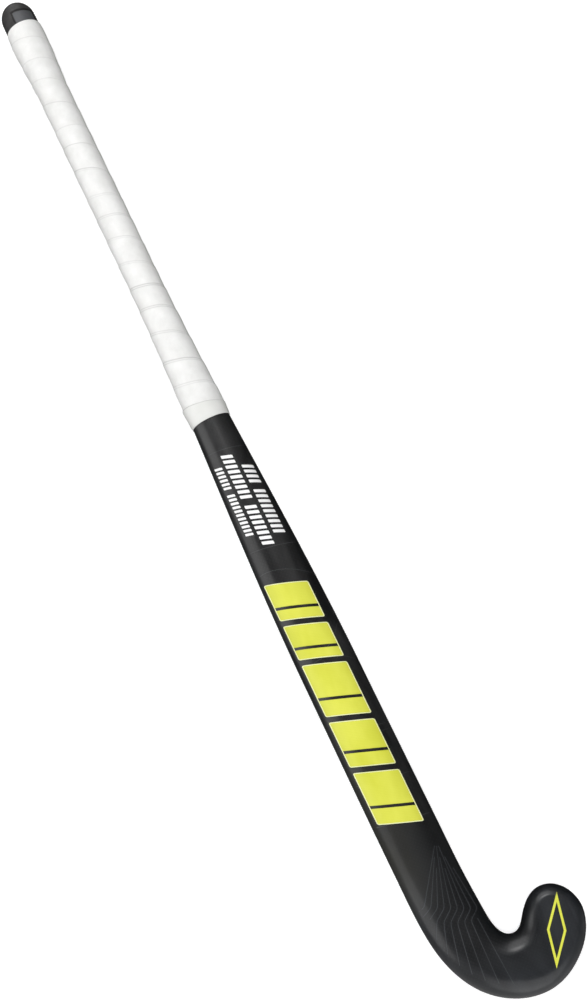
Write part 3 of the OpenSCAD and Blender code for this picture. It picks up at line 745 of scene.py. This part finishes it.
# Evenly spaced columns, with more of them at the window's two sides
panel_sides = [PANEL_LEFT + 360 - 1.2, PANEL_LEFT + 360 + 0.6, PANEL_RIGHT - 0.6, PANEL_RIGHT + 1.2]
cap_turns = np.radians(np.unique([*np.linspace(0, 360, 145)[:-1], *panel_sides]))
cap_cols = len(cap_turns)
depth, angle = np.meshgrid(cap_d, cap_turns, indexing="ij")
bare_radius = np.repeat(cap_r[:, None], cap_cols, 1)
degrees = np.degrees((angle + np.pi) % (2 * np.pi) - np.pi)
cap_row = np.arange(len(cap_d))[:, None]
outside = cap_row < DOME_ROWS + SIDE_ROWS
in_panel = (ease((depth - PANEL_TOP) / 0.7) * ease((degrees - PANEL_LEFT) / LEFT_SLOPE)
            * ease((PANEL_RIGHT - degrees) / RIGHT_SLOPE) * outside)
middle_of_panel = (ease((depth - PANEL_TOP - 0.7) / 1.3) * ease((degrees - PANEL_LEFT - 3) / 5)
                   * ease((PANEL_RIGHT - 6 - degrees) / 6))
# edge_line for the cap: painted shadow round the window's top and sides (towards 0), a paler window (1),
# 0.5 elsewhere
shade = 0.5 + in_panel * (middle_of_panel - 0.5)
ribs = np.where(outside, RIB_DEPTH * (0.5 + 0.5 * np.cos(depth * 2 * np.pi / RIB_STEP))
                * ease((depth - RIBS_FROM) / 3) * ease((RIBS_TO - depth) / 1.5), 0)
radius = bare_radius - PANEL_DEPTH * in_panel - ribs * (1 - in_panel)
nub = NUB * np.exp(-(radius / 1.5) ** 4) * (cap_row < 20)
cap_points = on_axis(depth - nub + NUB, radius, angle)
seat = np.array([butt + along * cap_d[-1]])
seat_at = cap_points.shape[0] * cap_cols
last_row = seat_at - cap_cols + np.arange(cap_cols)
cap_faces = grid(cap_points.shape[0], cap_cols).tolist()
cap_faces += [[a, b, seat_at] for a, b in zip(last_row.tolist(), np.roll(last_row, -1).tolist())]
piece("moulded_cap", np.concatenate([cap_points.reshape(-1, 3), seat]), cap_faces, RUBBER,
      ["end_cap"], sharp=28, weights=np.append(shade.ravel(), 0.5))

# ---------------------------------------------------------------- printed trim

SLANT = math.tan(math.radians(20))     # run along the stick per millimetre across it
PRINT_LIFT, PRINT_T = 0.03, 0.08       # gap under a print, and its thickness
FILL_ROUND, KEY_ROUND = 0.5, 0.6       # corner radius of the filled prints and of the outlines
STEP_ACROSS, STEP_ALONG, STEP_ROUND = 0.9, 1.6, 1.3     # between a print's points


def slab(plan, low, thick, closed=False):
    """Points and faces of a thin slab over the back, above a grid of plan positions."""
    rows, cols = plan.shape[:2]
    half = rows * cols
    points = np.concatenate([on_skin(plan[..., 0], plan[..., 1], low + thick).reshape(-1, 3),
                             on_skin(plan[..., 0], plan[..., 1], low).reshape(-1, 3)])
    faces = [grid(rows, cols, 0, closed), grid(rows, cols, half, closed)]
    if closed:
        faces += [loop_band(0, half, cols), loop_band(half - cols, 2 * half - cols, cols)]
    else:
        index = np.arange(half).reshape(rows, cols)
        rim = np.concatenate([index[0, :-1], index[:-1, -1], index[-1, :0:-1], index[:0:-1, 0]])
        after = np.roll(rim, -1)
        faces.append(np.stack([rim, after, after + half, rim + half], -1))
    return points, np.concatenate(faces)


def printed(name, slabs, material, node):
    """One piece made of many thin slabs."""
    points, faces, count = [], [], 0
    for p, f in slabs:
        points.append(p)
        faces.append(f + count)
        count += len(p)
    piece(name, np.concatenate(points), np.concatenate(faces), material, [node], weld=0.0005)


def filled(u0, u1, v0, v1, corner):
    """Plan grid of a slanted patch with rounded corners."""
    bend = np.sin(np.linspace(0, np.pi / 2, 6))
    straight = np.linspace(v0 + corner, v1 - corner, max(3, int((v1 - v0) / STEP_ACROSS)))[1:-1]
    v = np.concatenate([v0 + corner * (1 - bend[::-1]), straight, v1 - corner * (1 - bend)])
    near = np.minimum(v - v0, v1 - v)
    cut = corner - np.sqrt(np.maximum(0, corner ** 2 - np.maximum(0, corner - near) ** 2))
    f = np.linspace(0, 1, max(3, int((u1 - u0) / STEP_ALONG) + 2))[None, :]
    u = (u0 + cut)[:, None] * (1 - f) + (u1 - cut)[:, None] * f
    v = np.broadcast_to(v[:, None], u.shape)
    return np.stack([u + v * SLANT, v], -1)


def outline(u0, u1, v0, v1, corner, grow):
    """Closed plan path round a slanted patch with rounded corners, grown outward."""
    path = []
    corners = [(u1 - corner, v0 + corner, -90), (u1 - corner, v1 - corner, 0),
               (u0 + corner, v1 - corner, 90), (u0 + corner, v0 + corner, 180)]
    lengths = [v1 - v0, u1 - u0, v1 - v0, u1 - u0]
    radius = corner + grow
    for i, (cu, cv, start) in enumerate(corners):
        bend = np.radians(start + np.linspace(0, 90, 7))
        turned = np.stack([cu + radius * np.cos(bend), cv + radius * np.sin(bend)], 1)
        next_u, next_v, _ = corners[(i + 1) % 4]
        goal = np.array([next_u + radius * math.cos(bend[-1]), next_v + radius * math.sin(bend[-1])])
        f = np.linspace(0, 1, int(lengths[i] / STEP_ROUND) + 2)[1:-1, None]
        path += [turned, turned[-1] * (1 - f) + goal * f]
    path = np.concatenate(path)
    return np.stack([path[:, 0] + path[:, 1] * SLANT, path[:, 1]], 1)


def stroke(path, width):
    """Plan grid along an open path, as wide as given."""
    d = np.gradient(path, axis=0)
    d /= np.linalg.norm(d, axis=1)[:, None]
    across = np.stack([-d[:, 1], d[:, 0]], 1) * width / 2
    return np.stack([path - across, path, path + across], 1)


# Rows of slanted strokes, each in two groups: middle line, height, start, strokes in the first
# and in the second group, step from stroke to stroke and a stroke's width
BAR_ROWS = [(11.2, 8.2, -452.6, 4, 9, 4.45, 2.6), (-0.3, 8.8, -462, 9, 8, 4.5, 2.7),
            (-10.6, 6.2, -452.2, 6, 11, 3.42, 2.0)]
bars = []
for middle, height, start, first, second, step, stroke_w in BAR_ROWS:
    for i in range(first + second + 1):
        u = start + i * step
        if i != first:
            bar = filled(u, u + stroke_w, middle - height / 2, middle + height / 2, FILL_ROUND)
            bars.append(slab(bar, PRINT_LIFT, PRINT_T))
printed("white_rows", bars, WHITE_INK, "white_bars")

# Start and length of each block; each is cut into two at a share of its length
BLOCKS = [(-349, 29), (-314, 27), (-281, 41), (-234, 35), (-193, 40)]
BLOCK_LOW, BLOCK_HIGH, BLOCK_CUT, BLOCK_GAP = -17.2, 13.8, 0.64, 2.4
KEY_FROM, KEY_TO, KEY_T = 0.08, 0.75, 0.07     # the keyline's edges out from the block, its thickness
blocks, keys = [], []
for start, length in BLOCKS:
    cut = start + length * BLOCK_CUT
    for u0, u1 in ((start, cut), (cut + BLOCK_GAP, start + length)):
        blocks.append(slab(filled(u0, u1, BLOCK_LOW, BLOCK_HIGH, FILL_ROUND), PRINT_LIFT, PRINT_T))
    edges = [outline(start, start + length, BLOCK_LOW, BLOCK_HIGH, KEY_ROUND, grow)
             for grow in (KEY_FROM, KEY_TO)]
    keys.append(slab(np.stack(edges), PRINT_LIFT, KEY_T, closed=True))
printed("lime_blocks", blocks, LIME_INK, "colour_blocks")
printed("pale_frames", keys, PALE_INK, "block_keylines")

EMBLEM_MIDDLE, EMBLEM_LEAN = np.array([-37.0, 66.4]), math.radians(28)
EMBLEM_LONG, EMBLEM_WIDE, EMBLEM_LINE = 26.5, 7.0, 0.26     # half length, half width, line's share


def emblem_loop(size):
    """Closed plan path round a long lozenge, at a share of its full size."""
    long_axis = np.array([math.cos(EMBLEM_LEAN), -math.sin(EMBLEM_LEAN)])
    wide_axis = np.array([math.sin(EMBLEM_LEAN), math.cos(EMBLEM_LEAN)])
    corners = [EMBLEM_LONG * long_axis, EMBLEM_WIDE * wide_axis,
               -EMBLEM_LONG * long_axis, -EMBLEM_WIDE * wide_axis]
    return EMBLEM_MIDDLE + size * np.array([mix(corners[i], corners[(i + 1) % 4], f)
                                            for i in range(4) for f in np.linspace(0, 1, 20)[:-1]])


emblem = np.stack([emblem_loop(size) for size in np.linspace(1, 1 - EMBLEM_LINE, 8)])
printed("toe_lozenge", [slab(emblem, PRINT_LIFT, PRINT_T, closed=True)], LIME_INK,
        "toe_emblem")


def arc(a, b, c, f):
    """Point at share f of the smooth curve from a to c that b pulls on."""
    return (1 - f) ** 2 * np.array(a) + 2 * f * (1 - f) * np.array(b) + f * f * np.array(c)


def rounded_path(stops, step, radius):
    """Plan path through stops, its corners rounded, with a point about every step."""
    stops = [np.asarray(p, float) for p in stops]
    path = [stops[0]]
    for a, b, c in zip(stops, stops[1:], stops[2:]):
        before = b + (a - b) * min(0.45, radius / np.linalg.norm(a - b))
        after = b + (c - b) * min(0.45, radius / np.linalg.norm(c - b))
        path += [before] + [arc(before, b, after, f) for f in (0.25, 0.5, 0.75)] + [after]
    path.append(stops[-1])
    dense = [path[0]]
    for a, b in zip(path, path[1:]):
        parts = max(1, int(np.linalg.norm(b - a) / step))
        dense += [mix(a, b, k / parts) for k in range(1, parts + 1)]
    return np.array(dense)


# Faint lines that spread from one place on the shaft and fan out over the heel, each with two bends
FAN_SOURCE = np.array([-131.6, 16.2])
FAN_LINES, FAN_W, FAN_LIFT, FAN_T = 10, 0.6, 0.02, 0.03
FAN_STEP, FAN_ROUND = 2.0, 2.2
fans = []
for i in range(FAN_LINES):
    f = i / (FAN_LINES - 1)
    bend = mix(np.array([-91.5, -13.2]), np.array([-72.0, 26.0]), f)
    turn_back = arc((-89, -21), (-71.5, -4.5), (-68, 18.5), f)
    end = arc((-112, -17.1), (-33.5, -23.3), (-17.5, 21.3), f)
    stops = [turn_back]
    if i < FAN_LINES - 1:
        stops = [mix(FAN_SOURCE, bend, 0.1 + 0.16 * (i % 3)), bend, turn_back]
    if end[0] > turn_back[0] + 4:
        stops.append(end)
    fans.append(slab(stroke(rounded_path(stops, FAN_STEP, FAN_ROUND), FAN_W), FAN_LIFT, FAN_T))
printed("heel_fan", fans, GREY_INK, "fan_lines")

# Faint arcs across the shaft: place at the middle line, lean and bend from edge to edge
SWEEPS = [(-467.5, 2.6, 0), (-380.5, 4, 0), (-361, 8, 5), (-291, 1.4, -20), (-286, 2, 10),
          (-226, 3, 0), (-221, 3, 0), (-187, 4, 0), (-154, 4, 0)]
SWEEP_W, SWEEP_LIFT, SWEEP_T = 0.55, 0.008, 0.02
sweeps = []
for start, slope, bend in SWEEPS:
    c = np.linspace(-0.86, 0.9, 40)
    x = start + slope * c + bend * c * c
    sweeps.append(slab(stroke(np.stack([x, c * shell_w(x) / 2], 1), SWEEP_W), SWEEP_LIFT, SWEEP_T))
printed("shaft_arcs", sweeps, HAZE_INK, "sweep_lines")

# ---------------------------------------------------------------- inner pieces, kept from the CAD

INNER_FINISH = {
    "centre_web": woven("laminate", (0.030, 0.030, 0.033), (0.060, 0.060, 0.064), 200, (0.5, 0.7)),
    "foam_core_toe_side": foam(), "foam_core_heel_side": foam(), "head_core": filler(),
    "face_liner": woven("aramid", (0.62, 0.44, 0.08), (0.42, 0.28, 0.04), 160, (0.5, 0.65)),
    "butt_plug": nylon(), "grip_underlay": backing()}
for name, material in INNER_FINISH.items():
    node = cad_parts[name]
    if not node.material_slots:
        node.data.materials.append(material)
    for holder in node.material_slots:
        holder.material = material

# ---------------------------------------------------------------- floor, light and camera

FLOOR_SIZE, FLOOR_DROP = 12, 0.0002


def floor_material():
    """White paper that glows a little, so that it stays white round the stick."""
    n = Nodes("floor_paper", Specular_IOR_Level=0.1, Emission_Color=(1, 1, 1, 1), Emission_Strength=0.42)
    tone = n.blend(n.span(n.noise(30, 3), 0.3, 0.7), (0.88, 0.88, 0.88), (0.90, 0.90, 0.90))
    rough = n.span(n.noise(200), 0.3, 0.7, 0.75, 0.9)
    return n.finish(tone, rough, n.bump(n.noise(800, 3), 0.0001, 0.2))


bpy.ops.mesh.primitive_plane_add(size=FLOOR_SIZE, location=(0, 0, -FLOOR_DROP))
floor = bpy.context.object
floor.name = "floor"
floor.data.materials.append(floor_material())
floor.visible_glossy = False
floor.visible_diffuse = False

# Direction of each glow, the cosines at which it starts and is full, and its strength: from overhead,
# from beyond the butt, and two low ones from beyond the head
STUDIO_GLOWS = [((0, 0, 1), -0.1, 0.5, 0.27), ((-0.56, 0.12, 0.82), 0.97, 0.994, 85),
                ((0.85, -0.35, -0.3), 0.5, 0.95, 9), ((0.7, 0.65, -0.25), 0.7, 0.98, 4)]
BACKDROP = 20     # how bright the surroundings look where the floor ends


def studio_world():
    """Surroundings with a few soft glows, and a bright backdrop that only the camera sees."""
    world = bpy.data.worlds.new("studio")
    world.use_nodes = True
    tree = world.node_tree
    direction = tree.nodes.new("ShaderNodeTexCoord").outputs["Generated"]
    camera_ray = tree.nodes.new("ShaderNodeLightPath").outputs["Is Camera Ray"]

    def math_node(operation, *values):
        node = tree.nodes.new("ShaderNodeMath")
        node.operation = operation
        for socket, value in zip(node.inputs, values):
            if isinstance(value, bpy.types.NodeSocket):
                tree.links.new(value, socket)
            else:
                socket.default_value = value
        return node.outputs[0]

    total = math_node("MULTIPLY", camera_ray, BACKDROP)
    for vector, low, high, strength in STUDIO_GLOWS:
        dot = tree.nodes.new("ShaderNodeVectorMath")
        dot.operation = "DOT_PRODUCT"
        tree.links.new(direction, dot.inputs[0])
        dot.inputs[1].default_value = Vector(vector).normalized()
        ramp = tree.nodes.new("ShaderNodeMapRange")
        ramp.interpolation_type = "SMOOTHSTEP"
        tree.links.new(dot.outputs["Value"], ramp.inputs["Value"])
        for key, value in (("From Min", low), ("From Max", high), ("To Min", 0), ("To Max", strength)):
            ramp.inputs[key].default_value = value
        total = math_node("ADD", total, ramp.outputs["Result"])
    tree.links.new(total, tree.nodes["Background"].inputs["Strength"])
    return world


bpy.context.scene.world = studio_world()
bpy.context.scene.view_settings.view_transform = "Standard"


def soft_light(name, toward, strength, spread, mirrored=True):
    """Even light from far away, as broad as its spread in degrees; toward points at the light."""
    lamp = bpy.data.lights.new(name, "SUN")
    lamp.energy = strength
    lamp.angle = math.radians(spread)
    obj = bpy.data.objects.new(name, lamp)
    obj.rotation_euler = Vector(toward).to_track_quat("Z", "Y").to_euler()
    obj.visible_glossy = mirrored
    bpy.context.scene.collection.objects.link(obj)


soft_light("heel_side_light", (-0.1, -0.9, 0.42), 1.0, 58)
soft_light("overhead_fill", (0, 0.05, 1), 1.68, 80, mirrored=False)
soft_light("heel_side_fill", (0, -0.95, 0.2), 0.3, 70, mirrored=False)
soft_light("toe_side_fill", (0, 0.95, 0.25), 0.5, 70, mirrored=False)
soft_light("butt_end_light", (-0.9, 0, 0.5), 1.1, 60)
soft_light("head_end_light", (0.9, -0.1, 0.55), 0.8, 60)

# Camera above the back, tipped 13 degrees towards the head, with the stick running down the frame
TILT, SIDE, ROLL = math.radians(12.98), math.radians(-0.251), math.radians(25.999)
TARGET = np.array([52.853, -1.959, 20.0]) * MM
DISTANCE, LENS, SENSOR = 1.0056, 45.742, 36
back = np.array([math.sin(TILT) * math.cos(SIDE), math.sin(SIDE), math.cos(TILT) * math.cos(SIDE)])
sight_x = np.array([math.cos(TILT), 0, -math.sin(TILT)])
sight_y = np.cross(back, sight_x)
right = math.sin(ROLL) * sight_x + math.cos(ROLL) * sight_y
up = -math.cos(ROLL) * sight_x + math.sin(ROLL) * sight_y
camera_data = bpy.data.cameras.new("camera")
camera_data.lens = LENS
camera_data.sensor_width = SENSOR
camera = bpy.data.objects.new("camera", camera_data)
camera.matrix_world = Matrix([[*row, 0] for row in np.stack([right, up, back], 1)] + [[0, 0, 0, 1]])
camera.location = Vector(TARGET + back * DISTANCE)
bpy.context.scene.collection.objects.link(camera)
bpy.context.scene.camera = camera
